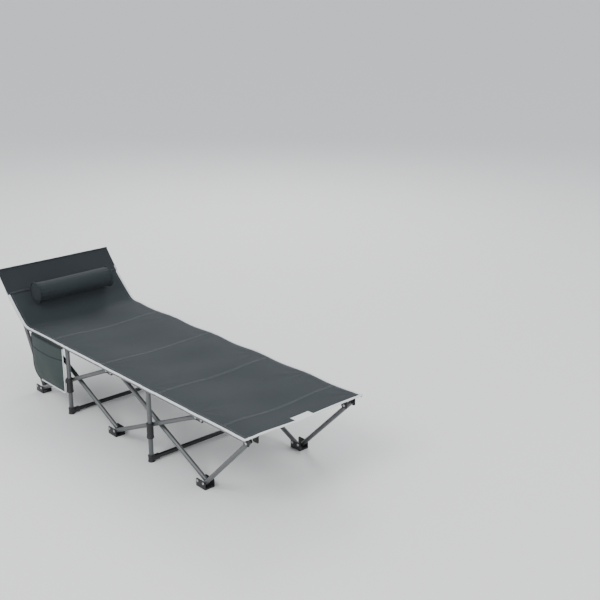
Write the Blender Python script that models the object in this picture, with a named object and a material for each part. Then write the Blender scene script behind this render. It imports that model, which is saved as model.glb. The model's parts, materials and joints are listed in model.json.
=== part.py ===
"""A folding camp cot: a fabric bed on side frames of crossed bars, which draw together along its length.

Metres, +Z up. The head end is at -X and the foot end at +X. Right is -Y, the side with the pocket.
The origin is on the floor, under the middle of the whole cot.

Five stations stand STATION apart between the raised head and the foot corners:
head joint, head post, centre joint, foot post, foot joint. Crossed bars span from joint to joint,
and each pair turns on a hub that slides on the post between them.
"""

import math

import bmesh
import bpy
from mathutils import Matrix, Vector

# Overall sizes
STATION = 0.320  # distance between stations along the bed
DECK_WIDTH = 0.610  # width of the fabric
DECK_HEIGHT = 0.330  # underside of the fabric above the floor
HEAD_RUN = 0.240  # length of the raised head, measured along the floor
HEAD_RISE = 0.225  # how far the head edge stands above the deck

# Tubes
BAR_RADIUS = 0.0095
POST_RADIUS = 0.010
ROD_RADIUS = 0.008
POST_INSET = 0.017  # post axis, in from the edge of the fabric
BAR_END = 0.012  # bar past its end rivet
ROUND_SIDES = 12
SHARP_ANGLE = math.radians(40)  # corners sharper than this are shaded as edges

# Rivets, which turn in the bars' holes
PIN_RADIUS = 0.003
PIN_CLEARANCE = 0.0003
PIN_SIDES = 8
PIN_BED = 0.0015  # how deep a rivet is set in its plate
PIN_PITCH = 0.018  # rivet to the middle of its bracket
RIVET_HEAD_RADIUS = 0.0065
RIVET_HEAD_THICKNESS = 0.0025
RIVET_HEAD_LAP = 0.0005  # the head laps its shank by this much

# Heights of the rivets
LOWER_PIVOT = 0.026
UPPER_PIVOT = 0.300

# Brackets and shoes
PLATE = 0.003
BRACKET_HALF = 0.030
CORNER_HALF = 0.017
BRACKET_DROP = 0.011  # plate below the rivet
SHOE_SOLE = 0.006
SHOE_TOP = 0.010  # plate above the rivet
WEB_OVERHANG = 0.010  # bracket top past the post axis, towards the edge
BOSS_RADIUS = 0.013
BOSS_LENGTH = 0.006

# Hubs
HUB_RADIUS = 0.0155
HUB_CLEARANCE = 0.0005
HUB_ABOVE = 0.012
HUB_BELOW = 0.056

# Posts
CAP_RADIUS = 0.0125
CAP_HEIGHT = 0.016
POST_SHOE_RADIUS = 0.015
POST_SHOE_HEIGHT = 0.030
TIE_HEIGHT = 0.0145
TIE_BOSS_LENGTH = 0.036

# Fabric
FABRIC = 0.0016
HEAD_FLAT = 0.030  # flat fabric over the head bracket
HEAD_STEPS = 6
HEAD_CURVE = 0.25  # share of the head's rise that comes from its curve
COVER_START = 0.62  # where the head cover starts, as a share of the raised head
COVER_OVERHANG = 0.002

# Pillow
PILLOW_RADIUS = 0.052
PILLOW_LENGTH = 0.420
PILLOW_PLACE = 0.46  # share of the raised head
PILLOW_GAP = 0.003
PILLOW_SIDES = 20
PILLOW_EDGE = 0.012

# Side pocket
POCKET_TOP = 0.318
POCKET_BOTTOM = 0.106
POCKET_DEPTH = 0.028
POCKET_WALL = 0.003
POCKET_FROM_JOINT = 0.030  # its head end, from the head joint
POCKET_TO_POST = 0.006  # its foot end, from the head post's axis
POCKET_ROUND = 0.070
POCKET_ROUND_STEPS = 5

# Clearances
GAP = 0.0003
SIDE_PLAY = 0.001
BAR_SPACING = 0.0015

SIDES = (("right", -1), ("left", 1))

# Places that follow from the sizes above
POST_Y = DECK_WIDTH / 2 - POST_INSET
OUTER_BAR = HUB_RADIUS + BAR_RADIUS + SIDE_PLAY
INNER_BAR = OUTER_BAR + 2 * BAR_RADIUS + BAR_SPACING
OUTER_PLATE = OUTER_BAR - BAR_RADIUS - SIDE_PLAY - PLATE
INNER_PLATE = INNER_BAR + BAR_RADIUS + SIDE_PLAY + PLATE
MIDDLE_PIVOT = (LOWER_PIVOT + UPPER_PIVOT) / 2
POST_TOP = DECK_HEIGHT - CAP_HEIGHT

HEAD_JOINT_X = -2 * STATION
HEAD_POST_X = -STATION
CENTRE_X = 0.0
FOOT_POST_X = STATION
FOOT_JOINT_X = 2 * STATION
FOOT_CORNER_X = 3 * STATION - BRACKET_HALF


def material(name, colour, roughness, metallic):
    made = bpy.data.materials.new(name)
    made.use_nodes = True
    shader = made.node_tree.nodes["Principled BSDF"]
    shader.inputs["Base Color"].default_value = (*colour, 1.0)
    shader.inputs["Roughness"].default_value = roughness
    shader.inputs["Metallic"].default_value = metallic
    return made


def clear_scene():
    for item in list(bpy.data.objects):
        bpy.data.objects.remove(item, do_unlink=True)


def add_object(name, mesh, finish, location=(0, 0, 0), turn=0.0):
    """An object at location, turned about Y."""
    made = bpy.data.objects.new(name, mesh)
    if finish is not None:
        mesh.materials.append(finish)
    made.location = location
    made.rotation_euler = (0, turn, 0)
    bpy.context.scene.collection.objects.link(made)
    return made


def finish_mesh(name, bm):
    bmesh.ops.recalc_face_normals(bm, faces=bm.faces[:])
    mesh = bpy.data.meshes.new(name)
    bm.to_mesh(mesh)
    bm.free()
    return mesh


def smooth(made):
    made.data.shade_smooth()
    made.data.set_sharp_from_angle(angle=SHARP_ANGLE)


def add_cylinder(bm, radius, start, end, sides=ROUND_SIDES):
    """A cylinder between two points."""
    start = Vector(start)
    along = Vector(end) - start
    turn = Vector((0, 0, 1)).rotation_difference(along).to_matrix().to_4x4()
    place = Matrix.Translation(start + along / 2) @ turn
    bmesh.ops.create_cone(
        bm,
        cap_ends=True,
        segments=sides,
        radius1=radius,
        radius2=radius,
        depth=along.length,
        matrix=place,
    )


def extrude_outline(bm, points, offset):
    """A solid from an outline of points, swept along offset."""
    verts = [bm.verts.new(point) for point in points]
    face = bm.faces.new(verts)
    swept = bmesh.ops.extrude_face_region(bm, geom=[face])
    moved = [item for item in swept["geom"] if isinstance(item, bmesh.types.BMVert)]
    bmesh.ops.translate(bm, verts=moved, vec=offset)


def helper(name, mesh, owner):
    """A cutter or a rivet that is joined to owner by a Boolean, and isn't a node itself."""
    made = add_object(name, mesh, None, owner.location, owner.rotation_euler.y)
    made.hide_render = True
    made.display_type = "WIRE"
    return made


def combine(owner, other, operation):
    step = owner.modifiers.new(operation.title(), "BOOLEAN")
    step.operation = operation
    step.solver = "EXACT"
    step.object = other


def bar(name, finish, side, depth, low, high, origin, holes):
    """A tube between two rivets. origin and holes are shares of its length from the lower rivet."""
    low = Vector((low[0], 0, low[1]))
    high = Vector((high[0], 0, high[1]))
    along = high - low
    length = along.length
    turn = math.atan2(along.x, along.z)
    y = side * (POST_Y - depth)
    place = low + along * origin
    bm = bmesh.new()
    bottom = -origin * length - BAR_END
    top = (1 - origin) * length + BAR_END
    add_cylinder(bm, BAR_RADIUS, (0, 0, bottom), (0, 0, top))
    made = add_object(name, finish_mesh(name, bm), finish, (place.x, y, place.z), turn)
    smooth(made)
    bm = bmesh.new()
    reach = BAR_RADIUS + SIDE_PLAY
    for hole in holes:
        z = (hole - origin) * length
        radius = PIN_RADIUS + PIN_CLEARANCE
        add_cylinder(bm, radius, (0, -reach, z), (0, reach, z), PIN_SIDES)
    combine(made, helper(name + "_holes", finish_mesh(name + "_holes", bm), made), "DIFFERENCE")
    return made


def channel_outline(inward, x, sole, wall_end, overhang):
    """A U in the YZ plane at x: a web at height sole, and two walls that reach to wall_end."""
    step = math.copysign(PLATE, wall_end - sole)
    outer = OUTER_PLATE
    inner = INNER_PLATE
    shape = (
        (outer, wall_end),
        (outer, sole + step),
        (-overhang, sole + step),
        (-overhang, sole),
        (inner, sole),
        (inner, wall_end),
        (inner - PLATE, wall_end),
        (inner - PLATE, sole + step),
        (outer + PLATE, sole + step),
        (outer + PLATE, wall_end),
    )
    return [(x, inward * y, z) for y, z in shape]


def channel(name, finish, side, place, half, pins, web, wall_end, overhang, turn=0.0):
    """A U-shaped bracket or shoe with its rivets. place is the point that its pins are measured from."""
    inward = -side
    bm = bmesh.new()
    outline = channel_outline(inward, -half, web, wall_end, overhang)
    extrude_outline(bm, outline, (2 * half, 0, 0))
    location = (place[0], side * POST_Y, place[1])
    made = add_object(name, finish_mesh(name, bm), finish, location, turn)
    bm = bmesh.new()
    start = OUTER_PLATE + PLATE - PIN_BED
    end = INNER_PLATE - PLATE + PIN_BED
    for x in pins:
        add_cylinder(bm, PIN_RADIUS, (x, inward * start, 0), (x, inward * end, 0), PIN_SIDES)
    combine(made, helper(name + "_rivets", finish_mesh(name + "_rivets", bm), made), "UNION")
    return made


def add_boss(made, side):
    """A round seat for a cross rod, on the bracket's inner plate and on its rivet's axis."""
    inward = -side
    bm = bmesh.new()
    start = (0, inward * (INNER_PLATE - PIN_BED), 0)
    end = (0, inward * (INNER_PLATE + BOSS_LENGTH), 0)
    add_cylinder(bm, BOSS_RADIUS, start, end)
    combine(made, helper(made.name + "_boss", finish_mesh("boss", bm), made), "UNION")


def top_bracket(name, finish, side, x, pins=(-PIN_PITCH, PIN_PITCH)):
    web = DECK_HEIGHT - UPPER_PIVOT
    return channel(
        name, finish, side, (x, UPPER_PIVOT), BRACKET_HALF, pins, web, -BRACKET_DROP, WEB_OVERHANG
    )


def floor_shoe(name, finish, side, x):
    pins = (-PIN_PITCH, PIN_PITCH)
    half = BRACKET_HALF
    place = (x, LOWER_PIVOT)
    made = channel(name, finish, side, place, half, pins, -LOWER_PIVOT, SHOE_TOP, -OUTER_PLATE)
    bm = bmesh.new()
    low = SHOE_SOLE - LOWER_PIVOT
    inner = INNER_PLATE - PLATE / 2
    outer = OUTER_PLATE + PLATE / 2
    base = -LOWER_PIVOT + PLATE / 2
    shape = ((outer, base), (inner, base), (inner, low), (outer, low))
    inset = half - PLATE / 2
    extrude_outline(bm, [(-inset, -side * y, z) for y, z in shape], (2 * inset, 0, 0))
    combine(made, helper(name + "_sole", finish_mesh(name + "_sole", bm), made), "UNION")
    return made


def corner_bracket(name, finish, side, place, turn):
    """The end bracket at a corner of the fabric, with one rivet."""
    web = DECK_HEIGHT - UPPER_PIVOT
    return channel(
        name, finish, side, place, CORNER_HALF, (0,), web, -BRACKET_DROP, WEB_OVERHANG, turn
    )


def hub(name, finish, side, x):
    """A collar that slides on a post, with the rivet that both crossed bars turn on."""
    inward = -side
    bm = bmesh.new()
    add_cylinder(bm, HUB_RADIUS, (0, 0, -HUB_BELOW), (0, 0, HUB_ABOVE))
    made = add_object(
        name, finish_mesh(name, bm), finish, (x, side * POST_Y, MIDDLE_PIVOT)
    )
    smooth(made)
    bm = bmesh.new()
    start = POST_RADIUS + HUB_CLEARANCE + PIN_BED
    end = INNER_BAR + BAR_RADIUS + SIDE_PLAY
    add_cylinder(bm, PIN_RADIUS, (0, inward * start, 0), (0, inward * end, 0), PIN_SIDES)
    combine(made, helper(name + "_rivet", finish_mesh(name + "_rivet", bm), made), "UNION")
    bm = bmesh.new()
    low = end - RIVET_HEAD_LAP
    high = end + RIVET_HEAD_THICKNESS
    add_cylinder(bm, RIVET_HEAD_RADIUS, (0, inward * low, 0), (0, inward * high, 0))
    combine(made, helper(name + "_head", finish_mesh(name + "_head", bm), made), "UNION")
    bm = bmesh.new()
    radius = POST_RADIUS + HUB_CLEARANCE
    low = -HUB_BELOW - PLATE
    high = HUB_ABOVE + PLATE
    add_cylinder(bm, radius, (0, 0, low), (0, 0, high))
    combine(made, helper(name + "_bore", finish_mesh(name + "_bore", bm), made), "DIFFERENCE")
    return made


def post(name, finish, side, x):
    bm = bmesh.new()
    low = POST_SHOE_HEIGHT + GAP
    add_cylinder(bm, POST_RADIUS, (0, 0, low), (0, 0, POST_TOP - GAP))
    made = add_object(name, finish_mesh(name, bm), finish, (x, side * POST_Y, 0))
    smooth(made)


def post_cap(name, finish, side, x):
    bm = bmesh.new()
    add_cylinder(bm, CAP_RADIUS, (0, 0, 0), (0, 0, CAP_HEIGHT))
    made = add_object(name, finish_mesh(name, bm), finish, (x, side * POST_Y, POST_TOP))
    smooth(made)


def post_shoe(name, finish, side, x):
    """The corner fitting at the foot of a post, which also takes the tie tube."""
    bm = bmesh.new()
    add_cylinder(bm, POST_SHOE_RADIUS, (0, 0, 0), (0, 0, POST_SHOE_HEIGHT))
    made = add_object(name, finish_mesh(name, bm), finish, (x, side * POST_Y, 0))
    smooth(made)
    bm = bmesh.new()
    end = (0, -side * TIE_BOSS_LENGTH, TIE_HEIGHT)
    add_cylinder(bm, BOSS_RADIUS, (0, 0, TIE_HEIGHT), end)
    combine(made, helper(name + "_socket", finish_mesh(name + "_socket", bm), made), "UNION")


def cross_tube(name, finish, x, z, half_length, radius):
    bm = bmesh.new()
    add_cylinder(bm, radius, (0, -half_length, 0), (0, half_length, 0))
    smooth(add_object(name, finish_mesh(name, bm), finish, (x, 0, z)))


def flat_panel(name, finish, start, end):
    """One stretch of the deck fabric, from one station to the next."""
    bm = bmesh.new()
    half = DECK_WIDTH / 2
    top = FABRIC
    left = start + GAP
    right = end - GAP
    outline = [(left, -half, 0), (right, -half, 0), (right, -half, top), (left, -half, top)]
    extrude_outline(bm, outline, (0, 2 * half, 0))
    add_object(name, finish_mesh(name, bm), finish, (0, 0, DECK_HEIGHT + GAP))


def head_point(share):
    """The underside of the raised head: 0 where it leaves the deck, 1 at the head edge."""
    x = HEAD_JOINT_X - HEAD_FLAT - HEAD_RUN * share
    rise = (1 - HEAD_CURVE) * share + HEAD_CURVE * share * share
    return Vector((x, 0, DECK_HEIGHT + GAP + HEAD_RISE * rise))


def head_slope(share):
    """The raised head's angle to the floor at a share of its length."""
    steepness = (1 - HEAD_CURVE) + 2 * HEAD_CURVE * share
    return math.atan2(HEAD_RISE * steepness, HEAD_RUN)


def head_normal(share):
    slope = head_slope(share)
    return Vector((math.sin(slope), 0, math.cos(slope)))


def head_sheet(name, finish, first, lift, half, lead):
    """A curved sheet over the raised head, from share first to the head edge."""
    steps = [first + (1 - first) * i / HEAD_STEPS for i in range(HEAD_STEPS + 1)]
    low = [head_point(t) + head_normal(t) * lift for t in steps]
    high = [head_point(t) + head_normal(t) * (lift + FABRIC) for t in steps]
    low = lead[:1] + low
    high = lead[1:] + high
    bm = bmesh.new()
    outline = [(p.x, -half, p.z) for p in low + high[::-1]]
    extrude_outline(bm, outline, (0, 2 * half, 0))
    add_object(name, finish_mesh(name, bm), finish)


def head_fabric(fabric, cover):
    start = HEAD_JOINT_X - GAP
    base = DECK_HEIGHT + GAP
    lead = [Vector((start, 0, base)), Vector((start, 0, base + FABRIC))]
    half = DECK_WIDTH / 2
    head_sheet("sling_head_panel", fabric, 0.0, 0.0, half, lead)
    lift = FABRIC + GAP
    head_sheet("head_cover", cover, COVER_START, lift, half + COVER_OVERHANG, [])


def pillow(finish):
    bm = bmesh.new()
    half = PILLOW_LENGTH / 2
    add_cylinder(bm, PILLOW_RADIUS, (0, -half, 0), (0, half, 0), PILLOW_SIDES)
    lift = PILLOW_RADIUS + 2 * FABRIC + PILLOW_GAP
    place = head_point(PILLOW_PLACE) + head_normal(PILLOW_PLACE) * lift
    made = add_object("pillow", finish_mesh("pillow", bm), finish, place)
    smooth(made)
    bevel = made.modifiers.new("Bevel", "BEVEL")
    bevel.width = PILLOW_EDGE
    bevel.segments = 2
    bevel.limit_method = "ANGLE"


def pocket_outline(inset, top):
    """The pocket's outline in the XZ plane, with its lower head corner rounded."""
    left = HEAD_JOINT_X + POCKET_FROM_JOINT + inset
    right = HEAD_POST_X - POCKET_TO_POST - inset
    bottom = POCKET_BOTTOM + inset
    radius = POCKET_ROUND - inset
    points = [(left, top)]
    for i in range(POCKET_ROUND_STEPS + 1):
        angle = math.pi / 2 * i / POCKET_ROUND_STEPS
        x = left + radius * (1 - math.cos(angle))
        z = bottom + radius * (1 - math.sin(angle))
        points.append((x, z))
    points.append((right, bottom))
    points.append((right, top))
    return points


def side_pocket(finish):
    """A flat bag on the right edge, open at the top."""
    outer = -DECK_WIDTH / 2 - GAP - POCKET_DEPTH
    bm = bmesh.new()
    outline = [(x, outer, z) for x, z in pocket_outline(0.0, POCKET_TOP)]
    extrude_outline(bm, outline, (0, POCKET_DEPTH, 0))
    made = add_object("side_pocket", finish_mesh("side_pocket", bm), finish)
    bm = bmesh.new()
    above = POCKET_TOP + POCKET_WALL
    outline = [(x, outer + POCKET_WALL, z) for x, z in pocket_outline(POCKET_WALL, above)]
    extrude_outline(bm, outline, (0, POCKET_DEPTH - 2 * POCKET_WALL, 0))
    combine(made, helper("pocket_inside", finish_mesh("pocket_inside", bm), made), "DIFFERENCE")


def head_corner_place():
    """The rivet of the head corner bracket, under the head edge."""
    share = 1 - CORNER_HALF / HEAD_RUN
    drop = DECK_HEIGHT - UPPER_PIVOT + GAP
    place = head_point(share) - head_normal(share) * drop
    return (place.x, place.z), head_slope(share)


def side_frame(word, side, steel, plastic, head_corner):
    """The bars, posts, hubs, brackets and shoes of one side."""
    low = LOWER_PIVOT
    high = UPPER_PIVOT
    pitch = PIN_PITCH
    ends_and_middle = (0, 0.5, 1)
    ends = (0, 1)
    head_foot = HEAD_JOINT_X + pitch
    foot_foot = FOOT_JOINT_X - pitch
    inner = INNER_BAR
    outer = OUTER_BAR
    frame_bars = (
        ("head_inner_bar_", inner, (-pitch, low), (head_foot, high), 0, ends_and_middle),
        ("head_outer_bar_", outer, (head_foot, low), (-pitch, high), 0.5, ends_and_middle),
        ("foot_outer_bar_", outer, (pitch, low), (foot_foot, high), 0, ends_and_middle),
        ("foot_inner_bar_", inner, (foot_foot, low), (pitch, high), 0.5, ends_and_middle),
        ("head_prop_", inner, (HEAD_JOINT_X - pitch, low), head_corner, 0, ends),
        ("foot_prop_", outer, (FOOT_JOINT_X + pitch, low), (FOOT_CORNER_X, high), 0, ends),
    )
    for start, depth, bottom, top, origin, holes in frame_bars:
        bar(start + word, steel, side, depth, bottom, top, origin, holes)
    for place, x in (("head", HEAD_JOINT_X), ("centre", CENTRE_X), ("foot", FOOT_JOINT_X)):
        top_bracket(place + "_bracket_" + word, plastic, side, x)
        floor_shoe(place + "_shoe_" + word, plastic, side, x)
    for place, x in (("head", HEAD_POST_X), ("foot", FOOT_POST_X)):
        post(place + "_post_" + word, steel, side, x)
        post_cap(place + "_post_cap_" + word, plastic, side, x)
        post_shoe(place + "_post_shoe_" + word, plastic, side, x)
        hub(place + "_hub_" + word, plastic, side, x)


def build():
    clear_scene()
    steel = material("grey_painted_steel", (0.30, 0.31, 0.32), 0.42, 0.6)
    plastic = material("black_plastic", (0.025, 0.026, 0.028), 0.5, 0.0)
    fabric = material("slate_fabric", (0.085, 0.105, 0.12), 0.85, 0.0)
    cover = material("charcoal_fabric", (0.055, 0.065, 0.075), 0.85, 0.0)
    mesh_cloth = material("green_grey_fabric", (0.13, 0.17, 0.165), 0.85, 0.0)
    head_corner, head_turn = head_corner_place()
    for word, side in SIDES:
        side_frame(word, side, steel, plastic, head_corner)
        head_bracket = corner_bracket("head_corner_" + word, plastic, side, head_corner, head_turn)
        add_boss(head_bracket, side)
        corner_bracket("foot_corner_" + word, plastic, side, (FOOT_CORNER_X, UPPER_PIVOT), 0.0)
    seat = POST_Y - INNER_PLATE - BOSS_LENGTH - GAP
    cross_tube("head_rod", steel, head_corner[0], head_corner[1], seat, ROD_RADIUS)
    tie = POST_Y - TIE_BOSS_LENGTH - GAP
    cross_tube("head_post_tie", steel, HEAD_POST_X, TIE_HEIGHT, tie, BAR_RADIUS)
    cross_tube("foot_post_tie", steel, FOOT_POST_X, TIE_HEIGHT, tie, BAR_RADIUS)
    flat_panel("sling_panel_head_joint", fabric, HEAD_JOINT_X, HEAD_POST_X)
    flat_panel("sling_panel_head_post", fabric, HEAD_POST_X, CENTRE_X)
    flat_panel("sling_panel_foot_post", fabric, CENTRE_X, FOOT_POST_X)
    flat_panel("sling_panel_foot_joint", fabric, FOOT_POST_X, FOOT_JOINT_X)
    flat_panel("sling_panel_foot_corner", fabric, FOOT_JOINT_X, 3 * STATION)
    head_fabric(fabric, cover)
    pillow(cover)
    side_pocket(mesh_cloth)
    centre_on_floor()


def centre_on_floor():
    """Moves the cot so that the origin is on the floor, under the middle of its box."""
    bpy.context.view_layer.update()
    graph = bpy.context.evaluated_depsgraph_get()
    corners = []
    for item in bpy.context.scene.collection.objects:
        if not item.hide_render:
            evaluated = item.evaluated_get(graph)
            corners += [item.matrix_world @ Vector(corner) for corner in evaluated.bound_box]
    shift_x = -(min(c.x for c in corners) + max(c.x for c in corners)) / 2
    shift_y = -(min(c.y for c in corners) + max(c.y for c in corners)) / 2
    for item in bpy.context.scene.collection.objects:
        item.location.x += shift_x
        item.location.y += shift_y


build()
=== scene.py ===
# %% [markdown]
# # A folding camp cot, dressed for its picture
#
# The cot's frame arrives as a imported model in which every tube, bracket and shoe already has its place.
# This notebook gives it its looks: cloth, stitching, moulded plastic and painted steel.
# Everything is in metres, with the floor at height zero, the head end at -X and the right side at -Y.
# Loading comes first.

# %% Load the frame
import json
import math

import bmesh
import bpy
import numpy as np
from mathutils import Euler, Matrix, Vector, noise

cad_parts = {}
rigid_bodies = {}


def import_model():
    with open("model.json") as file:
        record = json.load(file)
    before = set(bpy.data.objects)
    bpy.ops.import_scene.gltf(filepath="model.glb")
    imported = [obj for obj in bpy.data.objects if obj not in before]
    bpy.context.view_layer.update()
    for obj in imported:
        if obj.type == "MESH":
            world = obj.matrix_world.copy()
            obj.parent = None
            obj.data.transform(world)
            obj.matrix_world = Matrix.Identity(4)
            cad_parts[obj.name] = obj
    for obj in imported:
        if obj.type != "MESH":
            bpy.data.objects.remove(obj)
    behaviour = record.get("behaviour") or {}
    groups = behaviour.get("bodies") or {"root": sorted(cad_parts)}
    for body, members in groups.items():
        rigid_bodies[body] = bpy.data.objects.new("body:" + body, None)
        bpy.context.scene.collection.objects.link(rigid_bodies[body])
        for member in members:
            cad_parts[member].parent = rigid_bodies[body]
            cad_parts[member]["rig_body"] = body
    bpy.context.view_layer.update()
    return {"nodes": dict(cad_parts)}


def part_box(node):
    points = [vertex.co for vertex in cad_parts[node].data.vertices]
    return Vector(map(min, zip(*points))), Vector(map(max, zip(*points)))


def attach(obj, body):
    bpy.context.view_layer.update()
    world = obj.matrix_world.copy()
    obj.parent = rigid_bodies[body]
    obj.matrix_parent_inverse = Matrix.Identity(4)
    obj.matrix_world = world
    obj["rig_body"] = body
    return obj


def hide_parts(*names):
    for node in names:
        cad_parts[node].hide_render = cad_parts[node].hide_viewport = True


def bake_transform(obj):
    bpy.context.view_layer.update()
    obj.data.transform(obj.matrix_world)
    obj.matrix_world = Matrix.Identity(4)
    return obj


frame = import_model()

# %% [markdown]
# ## The camera
#
# A camera could be placed by eye, but a cot has long straight edges, so a small error in height or
# distance shows at once. It is given here as a place, a direction and a lens. The direction is an
# azimuth round the cot and an elevation above the horizon, because those are easy to reason about.

# %% Place the camera
CAMERA_PLACE = (3.590, -2.425, 2.003)
CAMERA_AZIMUTH = math.radians(47.71)
CAMERA_ELEVATION = math.radians(18.49)
CAMERA_LENS = 62.1

camera_data = bpy.data.cameras.new("camera")
camera_data.lens = CAMERA_LENS
camera_data.clip_end = 600.0
camera = bpy.data.objects.new("camera", camera_data)
camera.location = CAMERA_PLACE
camera.rotation_euler = Euler((math.pi / 2 - CAMERA_ELEVATION, 0, CAMERA_AZIMUTH))
bpy.context.scene.collection.objects.link(camera)
bpy.context.scene.camera = camera
print("camera", CAMERA_LENS, "mm lens")

# %% [markdown]
# ## Floor and light
#
# The cot stands on a plain pale floor. Daylight out of doors is mostly a large soft sky with one
# stronger side, so three big area lights are used and no hard lamp. A big light gives a soft
# shadow, and the shadow under the crossed bars is what makes them stand on the ground.

# %% Make the floor, the sky and the lights
FLOOR_SIZE = 400.0


def plain_material(name, colour, roughness, metallic=0.0):
    made = bpy.data.materials.new(name)
    made.use_nodes = True
    shader = made.node_tree.nodes["Principled BSDF"]
    shader.inputs["Base Color"].default_value = (*colour, 1.0)
    shader.inputs["Roughness"].default_value = roughness
    shader.inputs["Metallic"].default_value = metallic
    return made


def deselect():
    bpy.ops.object.select_all(action="DESELECT")


def area_light(name, place, aim, size, power):
    data = bpy.data.lights.new(name, "AREA")
    data.shape = "DISK"
    data.size = size
    data.energy = power
    lamp = bpy.data.objects.new(name, data)
    lamp.location = place
    lamp.rotation_euler = (Vector(aim) - Vector(place)).to_track_quat("-Z", "Y").to_euler()
    bpy.context.scene.collection.objects.link(lamp)


deselect()
bpy.ops.mesh.primitive_plane_add(size=FLOOR_SIZE)
floor = bpy.context.object
floor.name = "floor"
floor.data.materials.append(plain_material("pale_floor", (0.80, 0.80, 0.79), 0.9))

sky = bpy.data.worlds.new("sky")
sky.use_nodes = True
sky.node_tree.nodes["Background"].inputs["Color"].default_value = (0.93, 0.96, 1.0, 1.0)
sky.node_tree.nodes["Background"].inputs["Strength"].default_value = 1.0
bpy.context.scene.world = sky

AIM = (0.0, 0.0, 0.25)
area_light("key_light", (0.8, -4.2, 4.6), AIM, 3.2, 185)
area_light("fill_light", (4.5, 1.5, 3.2), AIM, 3.5, 90)
area_light("back_light", (-3.2, 3.4, 3.8), AIM, 2.6, 130)
print("floor, sky and three lights")

# %% [markdown]
# ## Small tools for modelling
#
# Most pieces start as a primitive and are then shaped in edit mode, as one would by hand. An operator
# works on whatever is selected, so each tool first clears the selection and then picks faces by their
# place or the way they face. Picking by rule is better than picking by number, because numbers change
# whenever a cut is added.

# %% Modelling tools
EDGE_ANGLE = math.radians(35)


def begin_edit(piece, kind="FACE"):
    deselect()
    piece.select_set(True)
    bpy.context.view_layer.objects.active = piece
    bpy.ops.object.mode_set(mode="EDIT")
    bpy.ops.mesh.select_mode(type=kind)
    bpy.ops.mesh.select_all(action="DESELECT")


def end_edit():
    bpy.ops.object.mode_set(mode="OBJECT")


def pick_faces(piece, test):
    """Selects the faces whose middle and normal pass the test, in edit mode."""
    mesh = bmesh.from_edit_mesh(piece.data)
    mesh.normal_update()
    for face in mesh.faces:
        face.select_set(bool(test(face.calc_center_median(), face.normal)))
    mesh.select_flush_mode()
    bmesh.update_edit_mesh(piece.data)


def pick_edges(piece, test):
    """Selects the edges whose middle and direction pass the test, in edit mode."""
    mesh = bmesh.from_edit_mesh(piece.data)
    for edge in mesh.edges:
        a, b = edge.verts[0].co, edge.verts[1].co
        edge.select_set(bool(test((a + b) / 2, (b - a).normalized())))
    mesh.select_flush_mode()
    bmesh.update_edit_mesh(piece.data)


def start_cylinder(name, radius, length, sides=32):
    """A cylinder along Z about the origin, which is shaped first and placed last."""
    deselect()
    bpy.ops.mesh.primitive_cylinder_add(vertices=sides, radius=radius, depth=length)
    piece = bpy.context.object
    piece.name = name
    return piece


def start_box(name, low, high):
    """A box between two corners."""
    deselect()
    bpy.ops.mesh.primitive_cube_add(size=1.0)
    piece = bpy.context.object
    piece.name = name
    size = [b - a for a, b in zip(low, high)]
    middle = [(a + b) / 2 for a, b in zip(low, high)]
    piece.data.transform(Matrix.Translation(middle) @ Matrix.Diagonal((*size, 1.0)))
    return piece


def apply_modifier(piece, kind, **settings):
    deselect()
    piece.select_set(True)
    bpy.context.view_layer.objects.active = piece
    step = piece.modifiers.new(kind.title(), kind)
    for name, value in settings.items():
        setattr(step, name, value)
    bpy.ops.object.modifier_apply(modifier=step.name)


def soften(piece, width, segments=2, angle=EDGE_ANGLE):
    """Rounds the sharp edges, as any moulded or pressed piece has them."""
    apply_modifier(
        piece,
        "BEVEL",
        width=width,
        segments=segments,
        limit_method="ANGLE",
        angle_limit=angle,
    )


def smooth_shade(piece):
    deselect()
    piece.select_set(True)
    bpy.context.view_layer.objects.active = piece
    bpy.ops.object.shade_smooth_by_angle(angle=EDGE_ANGLE)


def place_between(piece, start, end):
    """Turns a piece's Z axis from start to end and centres it there, in its mesh."""
    start, end = Vector(start), Vector(end)
    turn = Vector((0, 0, 1)).rotation_difference(end - start).to_matrix().to_4x4()
    piece.data.transform(Matrix.Translation((start + end) / 2) @ turn)


def join(name, pieces):
    """Joins finished pieces into one object, and leaves it at the origin."""
    deselect()
    for piece in pieces:
        piece.select_set(True)
    bpy.context.view_layer.objects.active = pieces[0]
    if len(pieces) > 1:
        bpy.ops.object.join()
    pieces[0].name = name
    return pieces[0]


def dress(piece, finish):
    piece.data.materials.clear()
    piece.data.materials.append(finish)


def body_of_node(node):
    return frame["nodes"][node]["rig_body"]


def stand_in(piece, node):
    """The piece is shown in place of a frame node, and moves as that node does."""
    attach(piece, body_of_node(node))
    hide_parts(node)


def middle_of(node):
    low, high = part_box(node)
    return (low + high) / 2


print("tools ready")

# %% [markdown]
# ## Effects that several finishes share
#
# A shader node group is like a function: it is built once, and each material gives it its own
# numbers. Three are enough here. One is a plain weave, one a diagonal twill, and one the uneven
# fading and dust that every used surface has. A group gives out only masks and heights, and the
# material decides what to do with them.

# %% Build the node groups


def new_group(name, inputs, outputs):
    tree = bpy.data.node_groups.new(name, "ShaderNodeTree")
    for label, kind, value in inputs:
        socket = tree.interface.new_socket(label, in_out="INPUT", socket_type=kind)
        if value is not None:
            socket.default_value = value
    for label in outputs:
        tree.interface.new_socket(label, in_out="OUTPUT", socket_type="NodeSocketFloat")
    return tree, tree.nodes.new("NodeGroupInput"), tree.nodes.new("NodeGroupOutput")


def maths(tree, operation, first, second=None, third=None):
    """A Math node. Each input is a number or another node's output."""
    node = tree.nodes.new("ShaderNodeMath")
    node.operation = operation
    for index, value in enumerate((first, second, third)):
        if value is None:
            continue
        if isinstance(value, (int, float)):
            node.inputs[index].default_value = value
        else:
            tree.links.new(value, node.inputs[index])
    return node.outputs[0]


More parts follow.
